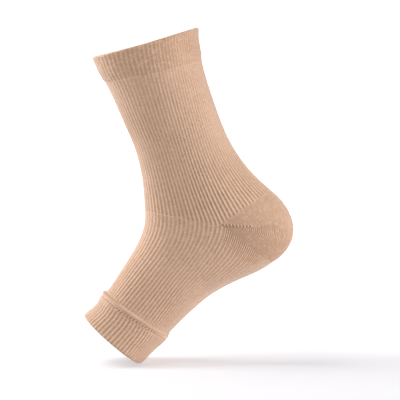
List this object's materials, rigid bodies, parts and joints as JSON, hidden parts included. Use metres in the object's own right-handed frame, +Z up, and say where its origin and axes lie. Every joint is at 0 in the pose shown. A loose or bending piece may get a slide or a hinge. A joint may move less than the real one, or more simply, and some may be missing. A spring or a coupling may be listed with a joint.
{
  "type": "ankle support sock",
  "caption": "Open-ended ribbed knit ankle sleeve with a folded top cuff, a plain heel pocket and a short toe cuff past a raised seam.",
  "frame": {"origin": "inside of the heel pocket on the gore line, where the wearer's heel sits", "axes": "+X towards the heel, +Z up with the leg leaning towards the toes as worn in the picture, +Y square to the plane that halves the sock"},
  "size_m": [0.167, 0.0844, 0.268],
  "materials": {
    "top_cuff": "matt elastic rib knit, doubled",
    "leg_tube": "matt elastic rib knit",
    "heel_pocket": "matt plain knit",
    "foot_tube": "matt elastic rib knit",
    "toe_seam": "matt rolled knit seam",
    "toe_cuff": "matt elastic rib knit, doubled"
  },
  "bodies": {
    "root": {"top_cuff": "top_cuff", "leg_tube": "leg_tube", "heel_pocket": "heel_pocket", "foot_tube": "foot_tube", "toe_seam": "toe_seam", "toe_cuff": "toe_cuff"}
  },
  "joints": []
}
